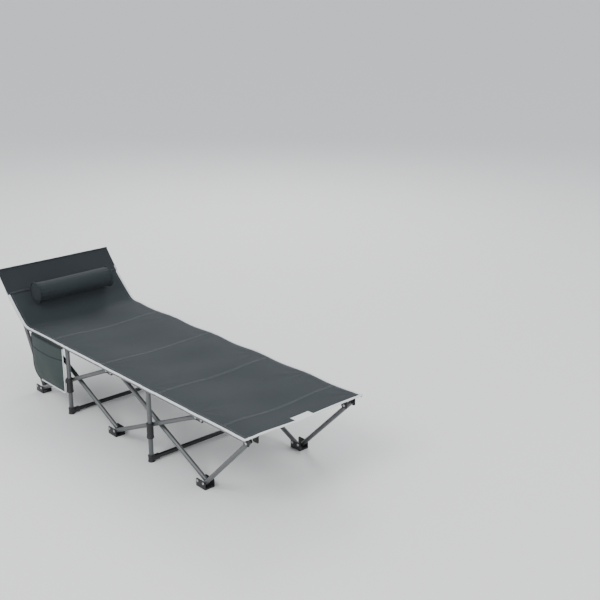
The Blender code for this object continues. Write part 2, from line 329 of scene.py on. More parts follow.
def noise_of(tree, vector, scale, detail=3.0):
    node = tree.nodes.new("ShaderNodeTexNoise")
    node.inputs["Scale"].default_value = scale
    node.inputs["Detail"].default_value = detail
    tree.links.new(vector, node.inputs["Vector"])
    return node.outputs["Fac"]


def build_weave_group():
    """Over-and-under threads: two waves, of which the higher one lies on top, and a mask of the low gaps between them
    for painted shade.
    """
    tree, inside, outside = new_group(
        "plain_weave",
        [("Vector", "NodeSocketVector", None), ("Pitch", "NodeSocketFloat", 0.002)],
        ["Height", "Gap_shade", "Warp"],
    )
    split = tree.nodes.new("ShaderNodeSeparateXYZ")
    tree.links.new(inside.outputs["Vector"], split.inputs[0])
    turns = maths(tree, "DIVIDE", math.pi, inside.outputs["Pitch"])
    across = maths(tree, "MULTIPLY", split.outputs["X"], turns)
    along = maths(tree, "MULTIPLY", split.outputs["Y"], turns)
    sine_x = maths(tree, "SINE", across)
    sine_y = maths(tree, "SINE", along)
    over = maths(tree, "MULTIPLY", sine_x, sine_y)
    warp_on_top = maths(tree, "GREATER_THAN", over, 0.0)
    round_x = maths(tree, "ABSOLUTE", sine_x)
    round_y = maths(tree, "ABSOLUTE", sine_y)
    height = maths(tree, "MULTIPLY", maths(tree, "POWER", round_x, 0.5), maths(tree, "POWER", round_y, 0.5))
    # Painted shade mask: the low points between the threads, which the cloths darken.
    gap_shade = maths(tree, "LESS_THAN", height, 0.35)
    tree.links.new(height, outside.inputs["Height"])
    tree.links.new(gap_shade, outside.inputs["Gap_shade"])
    tree.links.new(warp_on_top, outside.inputs["Warp"])
    return tree


def build_twill_group():
    """Slanting ribs, each broken by a finer thread across it."""
    tree, inside, outside = new_group(
        "diagonal_twill",
        [("Vector", "NodeSocketVector", None), ("Pitch", "NodeSocketFloat", 0.006)],
        ["Height", "Rib"],
    )
    split = tree.nodes.new("ShaderNodeSeparateXYZ")
    tree.links.new(inside.outputs["Vector"], split.inputs[0])
    slant = maths(tree, "ADD", split.outputs["X"], split.outputs["Y"])
    counter = maths(tree, "SUBTRACT", split.outputs["X"], split.outputs["Y"])
    turns = maths(tree, "DIVIDE", 2 * math.pi, inside.outputs["Pitch"])
    rib = maths(tree, "MULTIPLY_ADD", maths(tree, "SINE", maths(tree, "MULTIPLY", slant, turns)), 0.5, 0.5)
    fine_turns = maths(tree, "MULTIPLY", turns, 2.0)
    fine = maths(tree, "MULTIPLY_ADD", maths(tree, "SINE", maths(tree, "MULTIPLY", counter, fine_turns)), 0.2, 0.8)
    height = maths(tree, "MULTIPLY", rib, fine)
    tree.links.new(height, outside.inputs["Height"])
    tree.links.new(rib, outside.inputs["Rib"])
    return tree


def build_wear_group():
    """Broad fading, fine grain and scattered marks."""
    tree, inside, outside = new_group(
        "fading_and_dust",
        [("Vector", "NodeSocketVector", None), ("Size", "NodeSocketFloat", 1.0)],
        ["Fade", "Grain", "Marks"],
    )
    scaled = tree.nodes.new("ShaderNodeVectorMath")
    scaled.operation = "SCALE"
    tree.links.new(inside.outputs["Vector"], scaled.inputs[0])
    tree.links.new(inside.outputs["Size"], scaled.inputs["Scale"])
    fade = noise_of(tree, scaled.outputs[0], 5.0, 4.0)
    grain = noise_of(tree, scaled.outputs[0], 900.0, 2.0)
    marks = maths(tree, "GREATER_THAN", noise_of(tree, scaled.outputs[0], 130.0, 3.0), 0.66)
    tree.links.new(fade, outside.inputs["Fade"])
    tree.links.new(grain, outside.inputs["Grain"])
    tree.links.new(marks, outside.inputs["Marks"])
    return tree


WEAVE = build_weave_group()
TWILL = build_twill_group()
WEAR = build_wear_group()
print("node groups:", WEAVE.name, TWILL.name, WEAR.name)

# %% [markdown]
# ## Finishes
#
# Cloth, painted steel and moulded plastic differ less in colour than in how they break up light. The
# cloths read the piece's own map, which is laid out in metres along the fabric, so the weave follows
# the raised head instead of stretching over it. Steel and plastic read object coordinates. Colours
# are mixed between a darker and a lighter value by the masks, and the bump is as deep as the thread.

# %% Make the finishes


def use_group(tree, group, vector, **values):
    node = tree.nodes.new("ShaderNodeGroup")
    node.node_tree = group
    tree.links.new(vector, node.inputs["Vector"])
    for name, value in values.items():
        node.inputs[name].default_value = value
    return node


def mix_colours(tree, factor, first, second):
    """Two colours mixed by a mask. Each is three numbers or another node's output."""
    node = tree.nodes.new("ShaderNodeMix")
    node.data_type = "RGBA"
    tree.links.new(factor, node.inputs["Factor"])
    for socket, value in ((node.inputs[6], first), (node.inputs[7], second)):
        if isinstance(value, tuple):
            socket.default_value = (*value, 1.0)
        else:
            tree.links.new(value, socket)
    return node.outputs[2]


def add_bump(tree, shader, height, depth):
    bump = tree.nodes.new("ShaderNodeBump")
    bump.inputs["Distance"].default_value = depth
    bump.inputs["Strength"].default_value = 0.8
    tree.links.new(height, bump.inputs["Height"])
    tree.links.new(bump.outputs[0], shader.inputs["Normal"])


def cloth_vector(tree):
    node = tree.nodes.new("ShaderNodeUVMap")
    node.uv_map = "cloth"
    return node.outputs["UV"]


def object_vector(tree):
    return tree.nodes.new("ShaderNodeTexCoord").outputs["Object"]


def roughness_from(tree, shader, mask, low, high):
    spread = maths(tree, "MULTIPLY_ADD", mask, high - low, low)
    tree.links.new(spread, shader.inputs["Roughness"])


def woven_cloth(name, dark, light, worn, pitch, depth, vector=cloth_vector, sheen=0.04):
    made = plain_material(name, light, 0.85)
    tree = made.node_tree
    shader = tree.nodes["Principled BSDF"]
    shader.inputs["Sheen Weight"].default_value = sheen
    shader.inputs["Sheen Roughness"].default_value = 0.5
    shader.inputs["Specular IOR Level"].default_value = 0.25
    place = vector(tree)
    weave = use_group(tree, WEAVE, place, Pitch=pitch)
    wear = use_group(tree, WEAR, place, Size=1.0)
    threads = mix_colours(tree, weave.outputs["Warp"], dark, light)
    # Painted shade: the gaps between threads are darkened below the darkest thread colour.
    threads = mix_colours(tree, maths(tree, "MULTIPLY", weave.outputs["Gap_shade"], 0.55), threads, tuple(c * 0.4 for c in dark))
    faded = mix_colours(tree, maths(tree, "MULTIPLY", wear.outputs["Fade"], 0.55), threads, worn)
    tree.links.new(faded, shader.inputs["Base Color"])
    roughness_from(tree, shader, wear.outputs["Grain"], 0.70, 0.92)
    height = maths(tree, "MULTIPLY_ADD", wear.outputs["Grain"], 0.25, weave.outputs["Height"])
    add_bump(tree, shader, height, depth)
    return made


def twill_cloth(name, dark, light, worn, pitch, depth):
    made = plain_material(name, light, 0.85)
    tree = made.node_tree
    shader = tree.nodes["Principled BSDF"]
    shader.inputs["Sheen Weight"].default_value = 0.04
    shader.inputs["Specular IOR Level"].default_value = 0.25
    place = cloth_vector(tree)
    twill = use_group(tree, TWILL, place, Pitch=pitch)
    wear = use_group(tree, WEAR, place, Size=1.5)
    ribs = mix_colours(tree, twill.outputs["Rib"], dark, light)
    faded = mix_colours(tree, maths(tree, "MULTIPLY", wear.outputs["Fade"], 0.5), ribs, worn)
    tree.links.new(faded, shader.inputs["Base Color"])
    roughness_from(tree, shader, wear.outputs["Grain"], 0.72, 0.92)
    add_bump(tree, shader, twill.outputs["Height"], depth)
    return made


def worn_solid(name, colour, worn, metallic, low, high, depth, marked):
    """Painted steel, bare steel or moulded plastic: one colour, fine grain, and marks that catch light."""
    made = plain_material(name, colour, high, metallic)
    tree = made.node_tree
    shader = tree.nodes["Principled BSDF"]
    wear = use_group(tree, WEAR, object_vector(tree), Size=1.0)
    shade = mix_colours(tree, maths(tree, "MULTIPLY", wear.outputs["Fade"], 0.6), colour, worn)
    shade = mix_colours(tree, maths(tree, "MULTIPLY", wear.outputs["Marks"], marked), shade, tuple(min(1.0, c * 2.2) for c in worn))
    tree.links.new(shade, shader.inputs["Base Color"])
    roughness_from(tree, shader, wear.outputs["Fade"], low, high)
    add_bump(tree, shader, wear.outputs["Grain"], depth)
    return made


SLING_CLOTH = woven_cloth(
    "slate_sling_cloth", (0.0125, 0.0170, 0.0205), (0.0255, 0.0335, 0.0380), (0.0320, 0.0420, 0.0470), 0.0017, 0.0003
)
COVER_COLOURS = ((0.0110, 0.0137, 0.0167), (0.0205, 0.0255, 0.0300), (0.0260, 0.0320, 0.0370))
COVER_CLOTH = woven_cloth("charcoal_cover_cloth", *COVER_COLOURS, 0.0013, 0.0002)
SEAM_CLOTH = woven_cloth("charcoal_seam_cloth", *COVER_COLOURS, 0.0013, 0.0002, object_vector)
PILLOW_CLOTH = woven_cloth(
    "slate_pillow_cloth",
    (0.0115, 0.0162, 0.0195),
    (0.0230, 0.0310, 0.0345),
    (0.0290, 0.0370, 0.0410),
    0.0016,
    0.0003,
    object_vector,
)
TAPE_CLOTH = woven_cloth("white_binding_tape", (0.50, 0.51, 0.52), (0.86, 0.87, 0.88), (0.80, 0.81, 0.81), 0.0009, 0.00025, object_vector, 0.1)
HEM_CLOTH = woven_cloth("grey_hem_cloth", (0.10, 0.11, 0.12), (0.22, 0.23, 0.24), (0.20, 0.21, 0.22), 0.0012, 0.0002, object_vector)
POCKET_CLOTH = twill_cloth(
    "green_grey_twill", (0.019, 0.028, 0.027), (0.050, 0.067, 0.064), (0.060, 0.077, 0.073), 0.0075, 0.0005
)
THREAD = worn_solid("polyester_thread", (0.018, 0.021, 0.025), (0.035, 0.040, 0.045), 0.0, 0.5, 0.7, 0.0001, 0.1)
PALE_THREAD = worn_solid("grey_thread", (0.16, 0.17, 0.18), (0.22, 0.23, 0.24), 0.0, 0.5, 0.7, 0.0001, 0.1)
GREY_PAINT = worn_solid("satin_grey_paint", (0.105, 0.110, 0.113), (0.150, 0.156, 0.160), 0.35, 0.30, 0.50, 0.00008, 0.25)
# Painted shade: a near-black copy of the grey tube paint for the tie tubes, standing in for the shadow under the bed.
SHADE_DARKENED_TIE_PAINT = worn_solid("tie_paint_darkened_for_shade", (0.012, 0.013, 0.014), (0.026, 0.027, 0.028), 0.2, 0.32, 0.5, 0.00008, 0.3)
BLACK_PLASTIC = worn_solid("black_moulded_plastic", (0.010, 0.011, 0.012), (0.020, 0.021, 0.022), 0.0, 0.38, 0.58, 0.00015, 0.25)
BRIGHT_STEEL = worn_solid("zinc_plated_rivet", (0.55, 0.56, 0.57), (0.42, 0.42, 0.42), 1.0, 0.22, 0.42, 0.00006, 0.15)
print(len(bpy.data.materials), "materials")

# %% [markdown]
# ## Where things are
#
# Nothing is measured twice. The stations along the bed, the edges of the fabric and the line of the
# posts all come from the frame's own boxes. Only the heights of the rivets and the sizes that the
# boxes can't show are written down here.

# %% Read the stations from the frame
SIDES = (("right", -1), ("left", 1))
LOWER_PIVOT = 0.026
UPPER_PIVOT = 0.300
PIN_PITCH = 0.018
BAR_END = 0.012
PLATE = 0.003
OUTER_PLATE = 0.0125
INNER_PLATE = 0.060
CLOTH = 0.0014

HEAD_JOINT = middle_of("head_bracket_right").x
HEAD_POST = middle_of("head_post_right").x
CENTRE = middle_of("centre_bracket_right").x
FOOT_POST = middle_of("foot_post_right").x
FOOT_JOINT = middle_of("foot_bracket_right").x
SLING_LOW, SLING_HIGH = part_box("sling_panel_head_joint")
FOOT_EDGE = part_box("sling_panel_foot_corner")[1].x
HEAD_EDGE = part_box("sling_head_panel")[0].x
MIDDLE_Y = (SLING_LOW.y + SLING_HIGH.y) / 2
HALF_WIDTH = (SLING_HIGH.y - SLING_LOW.y) / 2
DECK_TOP = SLING_HIGH.z
POST_Y = {word: middle_of("head_post_" + word).y for word, side in SIDES}
BRACKET_HALF = (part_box("head_bracket_right")[1].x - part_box("head_bracket_right")[0].x) / 2
CAP_RADIUS = (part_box("head_post_cap_right")[1].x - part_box("head_post_cap_right")[0].x) / 2
STATIONS = (HEAD_JOINT, HEAD_POST, CENTRE, FOOT_POST, FOOT_JOINT)
print("stations at", [round(x, 3) for x in STATIONS], "deck at", round(DECK_TOP, 4))

# %% [markdown]
# ## The line that the fabric follows
#
# Seen from the side, the fabric is flat from the foot to just past the head joint and then bends up
# to the raised head. A hard fold there would look like card. The real cloth is under tension, so it
# turns over a few centimetres. The line is therefore built from its slope: the slope grows smoothly
# at the kink and a little more up the head, and summing small steps gives the place.

# %% Work out the line and its map
HEAD_FLAT = 0.030
KINK_LENGTH = 0.060
FIRST_SLOPE = math.radians(35.1)
LAST_SLOPE = math.radians(49.5)
LINE_STEP = 0.002


def slope_after(distance, length, steepen=1.0):
    """The slope at a distance past the start of the kink, where length is the whole raised head's."""
    ramp = min(1.0, max(0.0, distance / KINK_LENGTH))
    ramp = ramp * ramp * (3 - 2 * ramp)
    share = max(0.0, distance - KINK_LENGTH / 2) / length
    return steepen * ramp * (FIRST_SLOPE + (LAST_SLOPE - FIRST_SLOPE) * share)


HEAD_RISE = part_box("sling_head_panel")[1].z - DECK_TOP


def raised_head(steepen):
    """Distances along the fabric from the head joint towards the head edge, with place and slope."""
    length = math.hypot(HEAD_JOINT - HEAD_FLAT - HEAD_EDGE, HEAD_RISE)
    start = HEAD_FLAT - KINK_LENGTH / 2
    rows = [(0.0, HEAD_JOINT, DECK_TOP, 0.0)]
    distance, x, z = start, HEAD_JOINT - start, DECK_TOP
    while x > HEAD_EDGE + 0.001:
        slope = slope_after(distance - start, length, steepen)
        rows.append((distance, x, z, slope))
        distance += LINE_STEP
        x -= math.cos(slope) * LINE_STEP
        z += math.sin(slope) * LINE_STEP
    rows.append((distance, x, z, slope))
    return np.array(rows)


steepen = 1.0
for attempt in range(8):
    short = HEAD_RISE - (raised_head(steepen)[-1, 2] - DECK_TOP)
    steepen += short / HEAD_RISE * 0.6
HEAD_LINE = raised_head(steepen)
HEAD_LENGTH = float(HEAD_LINE[-1, 0])
HEAD_TOP = float(HEAD_LINE[-1, 2])


def line_point(distance):
    """Place and slope of the fabric's top at a distance from the head joint. Positive is towards the foot."""
    if distance >= 0:
        return HEAD_JOINT + distance, DECK_TOP, 0.0
    x, z, slope = (float(np.interp(-distance, HEAD_LINE[:, 0], HEAD_LINE[:, k])) for k in (1, 2, 3))
    return x, z, slope


print("raised head", round(HEAD_LENGTH, 3), "m long, top at", round(HEAD_TOP, 3))

# %% [markdown]
# ## How a stretched sheet really lies
#
# A sheet on a frame is never flat. It hangs a few millimetres lower in the middle, its long edges draw
# in between the brackets that hold them, and small creases fan out from each bracket where the pull is
# greatest. A cloth simulation of such a tight sheet would mostly give numbers that are already known,
# and would take minutes, so these three effects are written as heights over the flat line.

# %% Relief of the sling
SAG = 0.0120
EDGE_DRAW = 0.0050
CREASE = 0.0019
CREASE_REACH = 0.085
CREASES_ROUND = 9
WAVE = 0.0022
EDGE_DROOP = 0.0030
LAP_HEIGHT = 0.0007
LAP_HALF = 0.006
FOOT_CURVE = 0.004
SEAM_FIRST = HEAD_JOINT + 0.205
SEAM_PITCH = 0.414
SEAMS = [SEAM_FIRST + SEAM_PITCH * i for i in range(4)]
HOLDS = [(x, side) for x in STATIONS + (FOOT_EDGE - BRACKET_HALF,) for word, side in SIDES]


def between_stations(x):
    """0 at a station and 1 half-way to the next."""
    pitch = HEAD_POST - HEAD_JOINT
    return math.sin(math.pi * (x - HEAD_JOINT) / pitch) ** 2


def creases_at(x, y):
    total = 0.0
    for hold_x, side in HOLDS:
        dx = x - hold_x
        dy = y - (MIDDLE_Y + side * (HALF_WIDTH - 0.012))
        away = math.hypot(dx, dy)
        if away < 3 * CREASE_REACH:
            fan = math.cos(CREASES_ROUND * math.atan2(dy, dx) + 2.3 * hold_x)
            total += CREASE * fan * math.exp(-away / CREASE_REACH) * min(1.0, away / 0.03)
    return total


def relief(distance, share):
    """Height of the cloth over its line. share runs from -1 at the right edge to 1 at the left."""
    x = HEAD_JOINT + distance
    y = MIDDLE_Y + share * HALF_WIDTH
    hollow = max(0.0, 1 - (share / 0.76) ** 2) ** 2
    low = -SAG * hollow * (0.45 + 0.55 * between_stations(x))
    wave = WAVE * noise.noise(Vector((x * 7.0, y * 5.0, 0.0))) * (1 - share ** 4)
    lap = 0.0
    for seam in SEAMS:
        off = abs(x - seam) / LAP_HALF
        lap += LAP_HEIGHT * max(0.0, min(1.0, 2.0 - 1.6 * off))
    if distance < 0:
        low *= max(0.25, 1 + distance / 0.1)
    droop = -EDGE_DROOP * abs(share) ** 8 * (between_stations(x) if distance > 0 else 0.0)
    return low + wave + lap + droop + max(0.0, creases_at(x, y))


def cloth_point(distance, share, lift=0.0):
    """A point of the cloth's top, lifted along its normal."""
    x, z, slope = line_point(distance)
    drawn = 1 - EDGE_DRAW / HALF_WIDTH * (between_stations(HEAD_JOINT + distance) if distance > 0 else 0.0)
    height = relief(distance, share) + lift
    return Vector((x + math.sin(slope) * height, MIDDLE_Y + share * HALF_WIDTH * drawn, z + math.cos(slope) * height))


def foot_distance(share):
    """Where the foot edge lies, which curves in between its corners."""
    return FOOT_EDGE - HEAD_JOINT - FOOT_CURVE * (1 - share * share)


print("seams at", [round(x, 3) for x in SEAMS])

# %% [markdown]
# ## The sling, one panel at a time
#
# The real sling is one cloth. When the cot folds it drops between the brackets like a concertina, so
# each stretch turns about its own bracket. It is made here as a panel for each stretch, cut where a
# fold falls, and the panels share the same edge so that no joint shows. Each starts as a grid, whose
# points are then moved onto the cloth, and gets its thickness last.

# %% Make the panels
CAP_HALF = CAP_RADIUS + 0.003
GRID_LONG = 0.008
GRID_WIDE = 72


def metres_map(piece, where):
    """Gives a piece a map called cloth, in metres, from a function of a point."""
    layer = piece.data.uv_layers.get("cloth") or piece.data.uv_layers.new(name="cloth")
    for loop in piece.data.loops:
        layer.data[loop.index].uv = where(piece.data.vertices[loop.vertex_index].co)


def cloth_grid(name, start, end, first=-1.0, last=1.0, lift=0.0, wide=GRID_WIDE, shape=None, long_step=GRID_LONG):
    """A grid whose first direction runs along the cloth and whose second runs across it."""
    count = max(2, round((end - start) / long_step))
    deselect()
    bpy.ops.mesh.primitive_grid_add(x_subdivisions=count, y_subdivisions=wide, size=2)
    piece = bpy.context.object
    piece.name = name
    piece.data.uv_layers[0].name = "cloth"
    layer = piece.data.uv_layers["cloth"]
    flat = []
    for vertex in piece.data.vertices:
        share = first + (vertex.co.y + 1) / 2 * (last - first)
        far = end if shape is None else shape(share)
        flat.append((start + (vertex.co.x + 1) / 2 * (far - start), share))
    for loop in piece.data.loops:
        distance, share = flat[loop.vertex_index]
        layer.data[loop.index].uv = (distance, share * HALF_WIDTH)
    for vertex, (distance, share) in zip(piece.data.vertices, flat):
        vertex.co = cloth_point(distance, share, lift)
    return piece


def thicken(piece, thickness=CLOTH):
    apply_modifier(piece, "SOLIDIFY", thickness=thickness, offset=-1.0)
    smooth_shade(piece)


PANELS = {
    "head": ("head_brackets", "panel_head", -1),
    "head_joint": ("head_brackets", "panel_head_joint", 1),
    "head_post": ("centre_brackets", "panel_head_post", -1),
    "foot_post": ("centre_brackets", "panel_foot_post", 1),
    "foot_joint": ("foot_brackets", "panel_foot_joint", -1),
    "foot_corner": ("foot_brackets", "panel_foot_corner", 1),
}


def follow_panel(piece):
    """Bakes the piece's transform into its mesh."""
    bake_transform(piece)


def stretch_of(panel):
    """The first and last distance of a panel, from the head joint."""
    stretches = {
        "head": (-HEAD_LENGTH, 0.0),
        "head_joint": (0.0, HEAD_POST - CAP_HALF - HEAD_JOINT),
        "head_post": (HEAD_POST + CAP_HALF - HEAD_JOINT, CENTRE - HEAD_JOINT),
        "foot_post": (CENTRE - HEAD_JOINT, FOOT_POST - CAP_HALF - HEAD_JOINT),
        "foot_joint": (FOOT_POST + CAP_HALF - HEAD_JOINT, FOOT_JOINT - HEAD_JOINT),
        "foot_corner": (FOOT_JOINT - HEAD_JOINT, FOOT_EDGE - HEAD_JOINT),
    }
    return stretches[panel]


NODE_OF_PANEL = {"head": "sling_head_panel"}
CAP_STRIPS = {"head_post": "head_post_frame", "foot_post": "foot_post_frame"}
sling_pieces = {}
for panel in PANELS:
    start, end = stretch_of(panel)
    edge = foot_distance if panel == "foot_corner" else None
    piece = cloth_grid("sling_" + panel + "_stretch", start, end, shape=edge)
    thicken(piece)
    dress(piece, SLING_CLOTH)
    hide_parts(NODE_OF_PANEL.get(panel, "sling_panel_" + panel))
    sling_pieces[panel] = piece
for name, body in CAP_STRIPS.items():
    x = {"head_post": HEAD_POST, "foot_post": FOOT_POST}[name]
    piece = cloth_grid("sling_over_" + name, x - CAP_HALF - HEAD_JOINT, x + CAP_HALF - HEAD_JOINT)
    thicken(piece)
    dress(piece, SLING_CLOTH)
    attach(piece, body)
    sling_pieces[name + "_strip"] = piece
print(len(sling_pieces), "pieces of sling")

# %% [markdown]
# ## Binding, hem and stitching
#
# A narrow white tape is folded over both long edges and the foot edge, and a grey hem shows under it.
# A row of stitches runs inside each long edge, and each cross seam has two. A tape could be a texture,
# but it stands proud and catches light along the whole cot, so it is swept as a rounded section along
# the edge. Stitches are short flattened beads, all of one mesh for each panel.

# %% Make the binding and the hem
TAPE_WIDTH = 0.0110
TAPE_THICK = 0.0050
TAPE_OUT = 0.0012
HEM_DROP = 0.011
HEM_THICK = 0.0022
STITCH = 0.0034
STITCH_GAP = 0.0016
STITCH_HALF = 0.00045
EDGE_STITCH = 0.018
SECTION_SIDES = 12


def rounded_section(width, height, power=3.5):
    """An oval with flattened sides, as points in two directions."""
    points = []
    for i in range(SECTION_SIDES):
        angle = 2 * math.pi * (i + 0.5) / SECTION_SIDES
        u, v = math.cos(angle), math.sin(angle)
        size = (abs(u) ** power + abs(v) ** power) ** (-1 / power)
        points.append((u * size * width / 2, v * size * height / 2))
    return points


def sweep(name, places, section):
    """Skins a section along places, each a point with two directions, and closes both ends."""
    mesh = bmesh.new()
    rings = []
    for point, first, second in places:
        rings.append([mesh.verts.new(point + first * u + second * v) for u, v in section])
    for near, far in zip(rings, rings[1:]):
        for i in range(len(section)):
            j = (i + 1) % len(section)
            mesh.faces.new((near[i], near[j], far[j], far[i]))
    mesh.faces.new(rings[0][::-1])
    mesh.faces.new(rings[-1])
    bmesh.ops.recalc_face_normals(mesh, faces=mesh.faces[:])
    data = bpy.data.meshes.new(name)
    mesh.to_mesh(data)
    mesh.free()
    piece = bpy.data.objects.new(name, data)
    bpy.context.scene.collection.objects.link(piece)
    smooth_shade(piece)
    return piece


def along(start, end, step):
    count = max(2, round(abs(end - start) / step))
    return [start + (end - start) * i / count for i in range(count + 1)]


def edge_places(start, end, side, out, drop, step=0.006):
    """Points down one long edge, with the direction across the cloth and the direction off it."""
    places = []
    for distance in along(start, end, step):
        slope = line_point(distance)[2]
        up = Vector((math.sin(slope), 0, math.cos(slope)))
        point = cloth_point(distance, side, -CLOTH / 2 - drop) + Vector((0, side * out, 0))
        places.append((point, Vector((0, side, 0)), up))
    return places


def edge_tape(panel, start, end):
    section = rounded_section(TAPE_WIDTH, TAPE_THICK)
    offset = TAPE_OUT - TAPE_WIDTH / 2 + 0.001
    pieces = [sweep("tape", edge_places(start, end, side, offset, 0.0), section) for word, side in SIDES]
    return join("binding_" + panel, pieces)


def edge_hem(panel, start, end):
    section = rounded_section(HEM_THICK, HEM_DROP)
    places = (edge_places(start, end, side, -0.002, HEM_DROP / 2) for word, side in SIDES)
    return join("hem_" + panel, [sweep("hem", row, section) for row in places])


def stitch_row(mesh, points, ups):
    """Adds a flattened bead for each stitch along a line of points."""
    for (a, b), up in zip(points, ups):
        forward = (b - a).normalized()
        across = up.cross(forward)
        middle = (a + b) / 2
        half = (b - a).length / 2
        ring = [
            (-half, 0.0, 0.0),
            (-half * 0.5, STITCH_HALF, 0.7),
            (half * 0.5, STITCH_HALF, 0.7),
            (half, 0.0, 0.0),
            (half * 0.5, -STITCH_HALF, 0.7),
            (-half * 0.5, -STITCH_HALF, 0.7),
        ]
        base = [mesh.verts.new(middle + forward * u + across * v - up * 0.0003) for u, v, w in ring]
        top = [mesh.verts.new(middle + forward * u * 0.8 + across * v * 0.7 + up * 0.0006) for u, v, w in ring]
        for i in range(6):
            j = (i + 1) % 6
            mesh.faces.new((base[i], base[j], top[j], top[i]))
        mesh.faces.new(top)
        mesh.faces.new(base[::-1])


def stitches(name, rows):
    """rows are functions from a length along the row to a place and the way up, with each row's ends."""
    mesh = bmesh.new()
    for where, start, end in rows:
        pitch = STITCH + STITCH_GAP
        count = int((end - start - STITCH_GAP) / pitch)
        spans = [(start + STITCH_GAP + pitch * i, start + pitch * (i + 1)) for i in range(count)]
        pairs = [(where(a)[0], where(b)[0]) for a, b in spans]
        ups = [where(a)[1] for a, b in spans]
        stitch_row(mesh, pairs, ups)
    data = bpy.data.meshes.new(name)
    bmesh.ops.recalc_face_normals(mesh, faces=mesh.faces[:])
    mesh.to_mesh(data)
    mesh.free()
    piece = bpy.data.objects.new(name, data)
    bpy.context.scene.collection.objects.link(piece)
    return piece


def long_row(share):
    def where(distance):
        slope = line_point(distance)[2]
        return cloth_point(distance, share), Vector((math.sin(slope), 0, math.cos(slope)))

    return where


def cross_row(distance):
    def where(place):
        slope = line_point(distance)[2]
        return cloth_point(distance, place / HALF_WIDTH), Vector((math.sin(slope), 0, math.cos(slope)))

    return where


edge_share = 1 - EDGE_STITCH / HALF_WIDTH
for panel in PANELS:
    start, end = stretch_of(panel)
    if panel == "head":
        start = -HEAD_LENGTH * 0.70
    if panel == "foot_corner":
        end -= TAPE_THICK
    rows = [(long_row(side * edge_share), start, end) for word, side in SIDES]
    for seam in SEAMS:
        if start < seam - HEAD_JOINT < end:
            reach = HALF_WIDTH - EDGE_STITCH
            rows += [(cross_row(seam - HEAD_JOINT + off), -reach, reach) for off in (-0.004, 0.004)]
    threads = stitches("stitching_" + panel, rows)
    dress(threads, PALE_THREAD)
    follow_panel(threads)
    tape = edge_tape(panel, start, end)
    dress(tape, TAPE_CLOTH)
    follow_panel(tape)
    hem = edge_hem(panel, start, end)
    dress(hem, HEM_CLOTH)
    follow_panel(hem)
    follow_panel(sling_pieces[panel])
    low, high = stretch_of(panel)
for name, body in CAP_STRIPS.items():
    x = {"head_post": HEAD_POST, "foot_post": FOOT_POST}[name]
    start, end = x - CAP_HALF - HEAD_JOINT, x + CAP_HALF - HEAD_JOINT
    threads = stitches("stitching_over_" + name, [(long_row(side * edge_share), start, end) for word, side in SIDES])
    tape = edge_tape("over_" + name, start, end)
    hem = edge_hem("over_" + name, start, end)
    for piece, finish in ((threads, PALE_THREAD), (tape, TAPE_CLOTH), (hem, HEM_CLOTH)):
        dress(piece, finish)
        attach(piece, body)


def foot_tape():
    """The binding across the foot edge, which follows its curve."""
    places = []
    for share in along(-1.0, 1.0, 0.02):
        point = cloth_point(foot_distance(share), share, -CLOTH / 2)
        slant = 2 * FOOT_CURVE * share / HALF_WIDTH
        across = Vector((1, -slant, 0)).normalized()
        places.append((point - across * (TAPE_WIDTH / 2 - 0.0015), across, Vector((0, 0, 1))))
    return sweep("binding_foot_edge", places, rounded_section(TAPE_WIDTH, TAPE_THICK))


TAG_WIDE = 0.092
TAG_LONG = 0.036
foot_edge_tape = foot_tape()
dress(foot_edge_tape, TAPE_CLOTH)
follow_panel(foot_edge_tape)
tag_share = TAG_WIDE / 2 / HALF_WIDTH
tag_end = foot_distance(0.0) - 0.004
tag = cloth_grid("blank_tag", tag_end - TAG_LONG, tag_end, -tag_share, tag_share, 0.0006, 24, None, 0.004)
thicken(tag, 0.0005)
dress(tag, TAPE_CLOTH)
follow_panel(tag)
print("binding, hems and stitching on", len(PANELS) + len(CAP_STRIPS), "pieces of cloth")

# %% [markdown]
# ## The head cover
#
# The top of the raised head is wrapped in a plain charcoal cover without any white binding. It could
# be painted on, but a wrapped cloth has thickness: it stands a little above the sling, turns round the
# head edge in a soft roll, and ends in a hem with two rows of stitches.

# %% Make the head cover
COVER_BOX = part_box("head_cover")
COVER_LIFT = 0.0018
COVER_WIDER = 1.006
ROLL_RADIUS = 0.0048


def distance_at(x):
    """The distance along the raised head at which the fabric is at x."""
    return -float(np.interp(-x, -HEAD_LINE[:, 1], HEAD_LINE[:, 0]))


cover_start = distance_at(COVER_BOX[1].x)
cover = cloth_grid("head_cover_cloth", -HEAD_LENGTH, cover_start, -COVER_WIDER, COVER_WIDER, COVER_LIFT)
thicken(cover, 0.0030)
soften(cover, 0.0010)
dress(cover, COVER_CLOTH)
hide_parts("head_cover")
follow_panel(cover)

roll_places = []
for share in along(-COVER_WIDER, COVER_WIDER, 0.02):
    x, z, slope = line_point(-HEAD_LENGTH)
    ripple = 0.0005 * math.sin(34 * share)
    point = cloth_point(-HEAD_LENGTH, share, -CLOTH / 2 + ripple)
    roll_places.append((point, Vector((math.cos(slope), 0, -math.sin(slope))), Vector((math.sin(slope), 0, math.cos(slope)))))
head_roll = sweep("head_cover_roll", roll_places, rounded_section(2 * ROLL_RADIUS, 2 * ROLL_RADIUS, 2.4))
dress(head_roll, SEAM_CLOTH)
follow_panel(head_roll)
reach = HALF_WIDTH - 0.006
cover_rows = []
for off in (0.006, 0.011):
    row = cross_row(cover_start - off)
    cover_rows.append((lambda place, row=row: (row(place)[0] + row(place)[1] * COVER_LIFT, row(place)[1]), -reach, reach))
cover_threads = stitches("stitching_head_cover", cover_rows)
dress(cover_threads, PALE_THREAD)
follow_panel(cover_threads)
print("head cover", round(HEAD_LENGTH + cover_start, 3), "m deep")

# %% [markdown]
# ## The pillow
#
# The pillow is a roll of cloth round a soft filling, with a piped disc at each end. A plain cylinder
# would look like a pipe. Here it starts as a slightly small cylinder, is remeshed evenly, and is blown
# up as cloth under a little pressure, so that it swells between its ends and wrinkles where the discs
# hold it. How far a point may move is capped, so that the roll keeps its size.

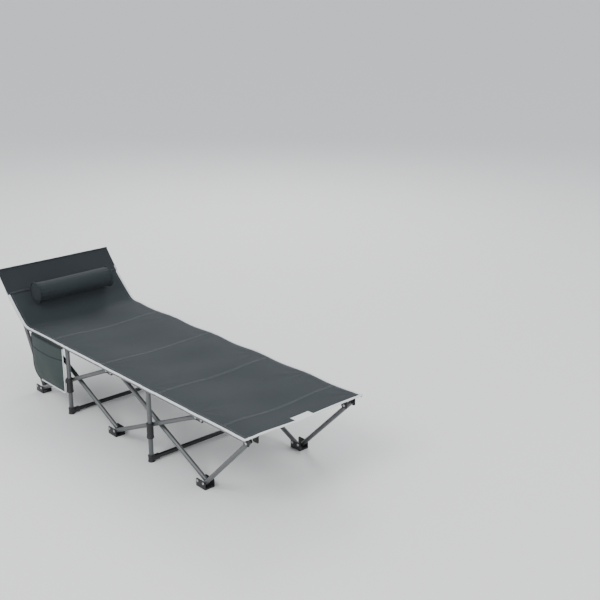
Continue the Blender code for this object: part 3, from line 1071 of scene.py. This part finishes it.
# %% Make the pillow
PILLOW_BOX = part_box("pillow")
PILLOW_RADIUS = (PILLOW_BOX[1].z - PILLOW_BOX[0].z) / 2
PILLOW_HALF = (PILLOW_BOX[1].y - PILLOW_BOX[0].y) / 2
PILLOW_MIDDLE = (PILLOW_BOX[0] + PILLOW_BOX[1]) / 2
PILLOW_SLIM = 0.90
PILLOW_CAP = 0.0075
VOXEL = 0.005
PIPE_RADIUS = 0.0024


def select_only(piece):
    deselect()
    piece.select_set(True)
    bpy.context.view_layer.objects.active = piece


def inflate(piece, cap):
    """Blows a closed cloth up for twenty frames, and lets no point move further than cap."""
    apply_modifier(piece, "REMESH", mode="VOXEL", voxel_size=VOXEL)
    before = np.array([v.co for v in piece.data.vertices])
    cloth = piece.modifiers.new("Cloth", "CLOTH")
    cloth.settings.use_pressure = True
    cloth.settings.uniform_pressure_force = 4.0
    cloth.settings.effector_weights.gravity = 0.0
    cloth.settings.quality = 5
    cloth.point_cache.frame_start = 1
    cloth.point_cache.frame_end = 20
    for number in range(1, 21):
        bpy.context.scene.frame_set(number)
    select_only(piece)
    bpy.ops.object.modifier_apply(modifier=cloth.name)
    bpy.context.scene.frame_set(1)
    after = np.array([v.co for v in piece.data.vertices])
    move = after - before
    far = np.linalg.norm(move, axis=1, keepdims=True)
    move *= np.minimum(1.0, cap / np.maximum(far, 1e-9))
    piece.data.vertices.foreach_set("co", (before + move).ravel())
    piece.data.update()


def make_pillow():
    piece = start_cylinder("pillow_roll", PILLOW_RADIUS * PILLOW_SLIM, 2 * PILLOW_HALF - 0.014, 48)
    begin_edit(piece)
    pick_faces(piece, lambda middle, normal: abs(normal.z) > 0.9)
    bpy.ops.mesh.inset(thickness=PILLOW_RADIUS * 0.28)
    bpy.ops.mesh.inset(thickness=PILLOW_RADIUS * 0.28)
    end_edit()
    soften(piece, 0.006, 3)
    place_between(piece, PILLOW_MIDDLE + Vector((0, -0.1, 0)), PILLOW_MIDDLE + Vector((0, 0.1, 0)))
    inflate(piece, PILLOW_CAP)
    for vertex in piece.data.vertices:
        off = vertex.co - PILLOW_MIDDLE
        around = math.atan2(off.z, off.x)
        near_end = max(0.0, 1 - (PILLOW_HALF - abs(off.y)) / 0.075)
        radial = Vector((off.x, 0, off.z))
        if radial.length > 0.012:
            pucker = 0.0012 * math.cos(17 * around + 3 * math.sin(9 * off.y)) * near_end
            dent = 0.0025 * noise.noise(Vector((off.x * 14, off.y * 9, off.z * 14)))
            vertex.co += radial.normalized() * (pucker + dent)
    apply_modifier(piece, "SUBSURF", levels=1, render_levels=1)
    for polygon in piece.data.polygons:
        polygon.use_smooth = True
    return piece


def ring_places(middle, radius, count=72):
    places = []
    for i in range(count + 1):
        angle = 2 * math.pi * i / count
        out = Vector((math.cos(angle), 0, math.sin(angle)))
        places.append((middle + out * radius, out, Vector((0, 1, 0))))
    return places


def pillow_piping():
    """A round cord in cloth at each end of the roll."""
    parts = []
    section = rounded_section(2 * PIPE_RADIUS, 2 * PIPE_RADIUS, 2.0)
    for side in (-1, 1):
        middle = PILLOW_MIDDLE + Vector((0, side * (PILLOW_HALF - 0.009), 0))
        parts.append(sweep("pipe", ring_places(middle, PILLOW_RADIUS - 0.0025), section))
    return join("pillow_piping", parts)


pillow = make_pillow()
dress(pillow, PILLOW_CLOTH)
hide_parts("pillow")
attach(pillow, "panel_head")
piping = pillow_piping()
dress(piping, PILLOW_CLOTH)
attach(piping, "panel_head")
print("pillow with", len(pillow.data.polygons), "faces")

# %% [markdown]
# ## The side pocket
#
# The pocket is a flat bag of diagonal twill, bound in white along its foot side and its bottom, with a dark
# seam along its mouth and its round side. One lower corner is round. It hangs from the edge of the sling and
# bellies out because it is sewn at its sides and free in the middle. Its front is a grid that is mapped into
# the rounded outline and pushed out, and its back is the same grid left flat.

# %% Make the pocket
POCKET_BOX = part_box("side_pocket")
POCKET_ROUND = 0.070
POCKET_BACK = POCKET_BOX[1].y - 0.0012
POCKET_FRONT = POCKET_BOX[0].y
POCKET_CLOTH_THICK = 0.0012
POCKET_GRID = 56


def pocket_place(u, v):
    """A point of the pocket's outline: u from the head side to the foot side, v from bottom to top."""
    low, high = POCKET_BOX
    height = v * (high.z - low.z)
    left = low.x
    if height < POCKET_ROUND:
        left += POCKET_ROUND - math.sqrt(POCKET_ROUND ** 2 - (POCKET_ROUND - height) ** 2)
    x = left + u * (high.x - left)
    return x, low.z + height


def belly(u, v):
    """How far the front stands out, from 0 at its seams to 1."""
    across = 1 - abs(2 * u - 1) ** 3.2
    upward = 1 - (1 - min(1.0, v * 1.7)) ** 3
    closing = 1 - 0.55 * max(0.0, (v - 0.6) / 0.4) ** 2
    fold = 0.07 * math.sin(9 * u + 4 * v) * v * (1 - v) * 4
    return max(0.0, across * upward * closing + fold * across)


def pocket_sheet(name, depth, top):
    deselect()
    bpy.ops.mesh.primitive_grid_add(x_subdivisions=POCKET_GRID, y_subdivisions=POCKET_GRID, size=1)
    piece = bpy.context.object
    piece.name = name
    for vertex in piece.data.vertices:
        u, v = vertex.co.x + 0.5, vertex.co.y + 0.5
        x, z = pocket_place(u, v)
        if v > 0.999:
            z = top
        out = depth * belly(u, v)
        vertex.co = (x, POCKET_BACK - POCKET_CLOTH_THICK - out, z)
    metres_map(piece, lambda point: (point.x, point.z))
    begin_edit(piece)
    bpy.ops.mesh.select_all(action="SELECT")
    bpy.ops.mesh.normals_make_consistent(inside=False)
    end_edit()
    if sum(p.normal.y for p in piece.data.polygons) > 0:
        piece.data.flip_normals()
    thicken(piece, POCKET_CLOTH_THICK)
    return piece


def pocket_edge(u, v, out):
    x, z = pocket_place(u, v)
    return Vector((x, POCKET_BACK - POCKET_CLOTH_THICK - out, z))


POCKET_DEPTH = POCKET_BACK - POCKET_FRONT - 0.0045
pocket_front = pocket_sheet("pocket_front", POCKET_DEPTH, POCKET_BOX[1].z)
pocket_back = pocket_sheet("pocket_back", 0.0, DECK_TOP - CLOTH - 0.0015)
dress(pocket_front, POCKET_CLOTH)
dress(pocket_back, POCKET_CLOTH)
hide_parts("side_pocket")
outward = Vector((0, -1, 0))
mouth = [(pocket_edge(u, 1.0, POCKET_DEPTH * belly(u, 1.0)), Vector((0, 0, 1)), outward) for u in along(0, 1, 0.02)]
foot_side = [(pocket_edge(1.0, v, 0.001) + outward * 0.001, Vector((1, 0, 0)), outward) for v in along(0, 1, 0.02)]
bottom = [(pocket_edge(u, 0.0, 0.001) + outward * 0.001, Vector((0, 0, 1)), outward) for u in along(0, 1, 0.02)]
tape_section = rounded_section(0.0070, 0.0034)
pocket_tape = join("pocket_binding", [sweep("tape", row, tape_section) for row in (foot_side, bottom)])
dress(pocket_tape, TAPE_CLOTH)
round_side = [(pocket_edge(0.0, v, 0.001), Vector((1, 0, 0)), outward) for v in along(0, 1, 0.015)]
PLEAT = 0.74
pleat = [
    (pocket_edge(u, PLEAT, POCKET_DEPTH * belly(u, PLEAT)), Vector((0, 0, 1)), outward) for u in along(0, 1, 0.02)
]
seams = [sweep("seam", row, rounded_section(0.0060, 0.0030)) for row in (round_side, mouth)]
seams.append(sweep("seam", pleat, rounded_section(0.0040, 0.0022)))
pocket_seam = join("pocket_dark_seams", seams)
dress(pocket_seam, SEAM_CLOTH)
for piece in (pocket_front, pocket_back, pocket_tape, pocket_seam):
    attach(piece, body_of_node("side_pocket"))

# %% [markdown]
# ## Tubes
#
# Bars, posts, props and cross tubes are steel tube with a satin paint. The two cross tubes that tie the
# posts' feet get a near-black copy of that paint, as painted shade for the shadow under the bed. The frame
# holds them as plain twelve-sided rods, which is enough to move but shows its corners. Each is made again
# as a round tube whose ends are cut, hollowed and eased, and it lies exactly where its rod lay.

# %% Make the tubes
TUBE_SIDES = 32
TUBE_WALL = 0.0014
TUBE_BORE = 0.010


def tube(name, start, end, radius, finish, node):
    start, end = Vector(start), Vector(end)
    length = (end - start).length
    piece = start_cylinder(name, radius, length, TUBE_SIDES)
    begin_edit(piece)
    pick_faces(piece, lambda middle, normal: abs(normal.z) > 0.9)
    bpy.ops.mesh.inset(thickness=TUBE_WALL)
    bpy.ops.mesh.extrude_region_shrink_fatten(TRANSFORM_OT_shrink_fatten={"value": -TUBE_BORE})
    end_edit()
    soften(piece, 0.0004, 2)
    place_between(piece, start, end)
    smooth_shade(piece)
    dress(piece, finish)
    stand_in(piece, node)
    return piece


def radius_of(node):
    low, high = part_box(node)
    return (high.y - low.y) / 2


HEAD_CORNER = middle_of("head_rod")
FOOT_CORNER = Vector((middle_of("foot_corner_right").x, 0.0, UPPER_PIVOT))
BARS = {
    "head_inner_bar": ((CENTRE - PIN_PITCH, LOWER_PIVOT), (HEAD_JOINT + PIN_PITCH, UPPER_PIVOT)),
    "head_outer_bar": ((HEAD_JOINT + PIN_PITCH, LOWER_PIVOT), (CENTRE - PIN_PITCH, UPPER_PIVOT)),
    "foot_outer_bar": ((CENTRE + PIN_PITCH, LOWER_PIVOT), (FOOT_JOINT - PIN_PITCH, UPPER_PIVOT)),
    "foot_inner_bar": ((FOOT_JOINT - PIN_PITCH, LOWER_PIVOT), (CENTRE + PIN_PITCH, UPPER_PIVOT)),
    "head_prop": ((HEAD_JOINT - PIN_PITCH, LOWER_PIVOT), (HEAD_CORNER.x, HEAD_CORNER.z)),
    "foot_prop": ((FOOT_JOINT + PIN_PITCH, LOWER_PIVOT), (FOOT_CORNER.x, FOOT_CORNER.z)),
}
tubes = 0
for word, side in SIDES:
    for bar, (low, high) in BARS.items():
        node = bar + "_" + word
        y = middle_of(node).y
        start, end = Vector((low[0], y, low[1])), Vector((high[0], y, high[1]))
        past = (end - start).normalized() * BAR_END
        tube(node + "_tube", start - past, end + past, radius_of(node), GREY_PAINT, node)
        tubes += 1
    for place in ("head_post", "foot_post"):
        low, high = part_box(place + "_" + word)
        x, y = (low.x + high.x) / 2, (low.y + high.y) / 2
        tube(place + "_" + word + "_tube", (x, y, low.z), (x, y, high.z), radius_of(place + "_" + word), GREY_PAINT, place + "_" + word)
        tubes += 1
# Painted shade: the two tie tubes get the near-black paint for the shadow under the bed; the head rod keeps the grey
# paint.
for node, finish in (("head_rod", GREY_PAINT), ("head_post_tie", SHADE_DARKENED_TIE_PAINT), ("foot_post_tie", SHADE_DARKENED_TIE_PAINT)):
    low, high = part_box(node)
    middle = (low + high) / 2
    radius = (high.z - low.z) / 2
    tube(node + "_tube", (middle.x, low.y, middle.z), (middle.x, high.y, middle.z), radius, finish, node)
    tubes += 1
print(tubes, "tubes")

# %% [markdown]
# ## Brackets and shoes
#
# At each joint a black moulded channel takes the ends of two bars: upside down under the fabric, and
# upright with a thick sole on the floor. It is cut from a block as a moulder would think of it: a
# plate with two walls, drawn down from strips of the plate, with round ears and eased edges.

# %% Make the brackets and shoes
EAR_ROUND = 0.008
WEB_OVERHANG = 0.010
CORNER_HALF = 0.017
BRACKET_DROP = 0.011
SHOE_TOP = 0.010
SOLE = 0.006
RIVET_RADIUS = 0.0058
RIVET_HEIGHT = 0.0024


def channel(name, half, base_low, base_high, wall_end, overhang):
    """A channel along X, about the rivet's height, with Y running inboard from the post's line."""
    inner_end = INNER_PLATE
    outer_end = -overhang
    piece = start_box(name, (-half, outer_end, base_low), (half, inner_end, base_high))
    begin_edit(piece)
    for y in (OUTER_PLATE, OUTER_PLATE + PLATE, INNER_PLATE - PLATE):
        if outer_end + 0.0001 < y < inner_end - 0.0001:
            bpy.ops.mesh.select_all(action="SELECT")
            bpy.ops.mesh.bisect(plane_co=(0, y, 0), plane_no=(0, 1, 0))
    down = wall_end < base_low
    way = -1 if down else 1
    middle_outer = OUTER_PLATE + PLATE / 2
    middle_inner = INNER_PLATE - PLATE / 2

    def is_strip(middle, normal):
        over_wall = abs(middle.y - middle_outer) < PLATE / 2 or abs(middle.y - middle_inner) < PLATE / 2
        return normal.z * way > 0.9 and over_wall

    pick_faces(piece, is_strip)
    travel = wall_end - (base_low if down else base_high)
    bpy.ops.mesh.extrude_region_move(TRANSFORM_OT_translate={"value": (0, 0, travel)})
    end_edit()
    begin_edit(piece, "EDGE")
    pick_edges(
        piece,
        lambda middle, along_it: abs(along_it.y) > 0.9 and abs(abs(middle.x) - half) < 1e-5 and abs(middle.z - wall_end) < 1e-5,
    )
    bpy.ops.mesh.bevel(offset=EAR_ROUND, segments=5, affect="EDGES")
    end_edit()
    return piece


def rivet_heads(name, xs, z=0.0, outer=True):
    """Domed heads on the outside of both walls, about the rivets' height."""
    heads = []
    places = [(INNER_PLATE, 1)] + ([(OUTER_PLATE, -1)] if outer else [])
    for x in xs:
        for y, way in places:
            head = start_cylinder("head", RIVET_RADIUS, RIVET_HEIGHT, 20)
            begin_edit(head)
            pick_faces(head, lambda middle, normal: normal.z > 0.9)
            bpy.ops.mesh.inset(thickness=0.0016)
            bpy.ops.transform.translate(value=(0, 0, 0.0006))
            bpy.ops.mesh.inset(thickness=0.0018)
            bpy.ops.transform.translate(value=(0, 0, 0.0003))
            end_edit()
            soften(head, 0.0003, 2)
            place_between(head, (x, y - way * 0.0002, z), (x, y + way * (RIVET_HEIGHT - 0.0002), z))
            heads.append(head)
    return join(name, heads)


def place_fitting(piece, side, x, y, z, turn=0.0):
    """Moves a fitting from its own axes to its place, mirrored for the left or right side."""
    mirror = Matrix.Diagonal((1, -side, 1, 1))
    move = Matrix.Translation((x, y, z)) @ Matrix.Rotation(turn, 4, "Y") @ mirror
    piece.data.transform(move)
    if side > 0:
        piece.data.flip_normals()
    smooth_shade(piece)


def add_fitting(node, half, base, wall_end, overhang, pins, side, x, z, turn=0.0):
    piece = channel(node + "_moulding", half, base[0], base[1], wall_end, overhang)
    soften(piece, 0.0008, 2)
    place_fitting(piece, side, x, POST_Y[word], z, turn)
    dress(piece, BLACK_PLASTIC)
    stand_in(piece, node)
    heads = rivet_heads(node + "_rivets", pins)
    place_fitting(heads, side, x, POST_Y[word], z, turn)
    dress(heads, BRIGHT_STEEL)
    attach(heads, body_of_node(node))


HEAD_CORNER_TURN = line_point(CORNER_HALF * 1.4 - HEAD_LENGTH)[2]
WEB = DECK_TOP - 0.0016 - 0.0003 - UPPER_PIVOT
fittings = 0
for word, side in SIDES:
    pins = (-PIN_PITCH, PIN_PITCH)
    for place, x in (("head", HEAD_JOINT), ("centre", CENTRE), ("foot", FOOT_JOINT)):
        add_fitting(place + "_bracket_" + word, BRACKET_HALF, (WEB - PLATE, WEB), -BRACKET_DROP, WEB_OVERHANG, pins, side, x, UPPER_PIVOT)
        add_fitting(
            place + "_shoe_" + word, BRACKET_HALF, (-LOWER_PIVOT, SOLE - LOWER_PIVOT), SHOE_TOP, -OUTER_PLATE, pins, side, x, LOWER_PIVOT
        )
        fittings += 2
    add_fitting("head_corner_" + word, CORNER_HALF, (WEB - PLATE, WEB), -BRACKET_DROP, WEB_OVERHANG, (0,), side, HEAD_CORNER.x, HEAD_CORNER.z, HEAD_CORNER_TURN)
    add_fitting("foot_corner_" + word, CORNER_HALF, (WEB - PLATE, WEB), -BRACKET_DROP, WEB_OVERHANG, (0,), side, FOOT_CORNER.x, FOOT_CORNER.z)
    fittings += 2
print(fittings, "brackets, shoes and corners")

# %% [markdown]
# ## Hubs, caps and post shoes
#
# Each post carries a black sliding hub that holds the crossing of two bars, a cap under the fabric
# and a shoe with a socket for the tube that ties the two sides. All are turned shapes, so each starts
# as a cylinder, and collars, waists and rims are drawn out of it by cutting it in rings and scaling.

# %% Make the hubs, caps and post shoes


def turned(name, rings, sides=36):
    """A solid turned about Z from rings of radius and height, bottom to top."""
    low, high = rings[0][1], rings[-1][1]
    piece = start_cylinder(name, 1.0, high - low, sides)
    piece.data.transform(Matrix.Translation((0, 0, (low + high) / 2)))
    begin_edit(piece)
    for radius, height in rings[1:-1]:
        bpy.ops.mesh.select_all(action="SELECT")
        bpy.ops.mesh.bisect(plane_co=(0, 0, height), plane_no=(0, 0, 1))
    end_edit()
    heights = np.array([height for radius, height in rings])
    radii = [radius for radius, height in rings]
    for vertex in piece.data.vertices:
        flat = math.hypot(vertex.co.x, vertex.co.y)
        if flat > 1e-6:
            index = int(np.argmin(abs(heights - vertex.co.z)))
            vertex.co.x *= radii[index] / flat
            vertex.co.y *= radii[index] / flat
    piece.data.update()
    return piece


HUB_STEP = 0.0010


def make_hub(node, word, side):
    low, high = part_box(node)
    post_middle = middle_of(node.replace("hub", "post"))
    radius = post_middle.x - low.x
    bottom, top = low.z, high.z
    rings = [
        (radius - HUB_STEP, bottom),
        (radius, bottom + 0.001),
        (radius, bottom + 0.009),
        (radius - HUB_STEP, bottom + 0.010),
        (radius - HUB_STEP, top - 0.010),
        (radius, top - 0.009),
        (radius, top - 0.001),
        (radius - HUB_STEP, top),
    ]
    piece = turned(node + "_collar", rings)
    soften(piece, 0.0005, 2)
    piece.data.transform(Matrix.Translation((post_middle.x, post_middle.y, 0)))
    smooth_shade(piece)
    dress(piece, BLACK_PLASTIC)
    stand_in(piece, node)
    pivot = (LOWER_PIVOT + UPPER_PIVOT) / 2
    reach = (high.y if side < 0 else low.y)
    shank = turned("shank", [(0.0042, 0.0), (0.0042, 0.5), (0.0042, 1.0)], 20)
    shank.data.transform(Matrix.Diagonal((1, 1, abs(reach - post_middle.y) - radius + 0.002, 1)))
    place_between(shank, (0, 0, 0), (0, -side * 1.0, 0))
    shank.data.transform(Matrix.Translation((post_middle.x, post_middle.y - side * (radius - 0.002) + side * 0.5, pivot)))
    head = turned("head", [(0.0062, 0.0), (0.0062, 0.0012), (0.0040, 0.0022), (0.0018, 0.0025)], 20)
    place_between(head, (0, 0, 0), (0, -side * 1.0, 0))
    head.data.transform(Matrix.Translation((post_middle.x, reach + side * 0.0025 + side * 0.5, pivot)))
    bolt = join(node + "_bolt", [shank, head])
    smooth_shade(bolt)
    dress(bolt, BRIGHT_STEEL)
    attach(bolt, body_of_node(node))


def make_cap(node):
    low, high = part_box(node)
    radius = (high.x - low.x) / 2
    rings = [
        (radius - 0.0015, low.z),
        (radius - 0.0005, low.z + 0.001),
        (radius - 0.0005, low.z + 0.005),
        (radius, low.z + 0.006),
        (radius, high.z - 0.003),
        (radius - 0.0012, high.z - 0.001),
        (radius - 0.0035, high.z),
    ]
    piece = turned(node + "_moulding", rings)
    piece.data.transform(Matrix.Translation(((low.x + high.x) / 2, (low.y + high.y) / 2, 0)))
    smooth_shade(piece)
    dress(piece, BLACK_PLASTIC)
    stand_in(piece, node)


def make_post_shoe(node, side):
    low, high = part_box(node)
    radius = (high.x - low.x) / 2
    middle = Vector(((low.x + high.x) / 2, middle_of(node.replace("_shoe", "")).y, 0))
    rings = [
        (radius - 0.0010, 0.0),
        (radius, 0.0010),
        (radius, 0.0050),
        (radius - 0.0015, 0.0065),
        (radius - 0.0015, high.z - 0.005),
        (radius - 0.0005, high.z - 0.004),
        (radius - 0.0005, high.z - 0.001),
        (radius - 0.0015, high.z),
    ]
    body = turned("body", rings)
    body.data.transform(Matrix.Translation(middle))
    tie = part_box("head_post_tie")
    tie_height = (tie[0].z + tie[1].z) / 2
    reach = abs((high.y if side < 0 else low.y) - middle.y)
    socket = turned("socket", [(0.0125, 0.0), (0.0125, reach - 0.006), (0.0130, reach - 0.005), (0.0130, reach - 0.0008), (0.0122, reach)])
    socket.data.transform(Matrix.Translation((0, 0, -reach / 2)))
    place_between(socket, (0, 0, 0), (0, -side * reach, 0))
    socket.data.transform(Matrix.Translation((middle.x, middle.y, tie_height)))
    piece = join(node + "_moulding", [body, socket])
    smooth_shade(piece)
    dress(piece, BLACK_PLASTIC)
    stand_in(piece, node)


for word, side in SIDES:
    for place in ("head", "foot"):
        make_hub(place + "_hub_" + word, word, side)
        make_cap(place + "_post_cap_" + word)
        make_post_shoe(place + "_post_shoe_" + word, side)
print("hubs, caps and post shoes")
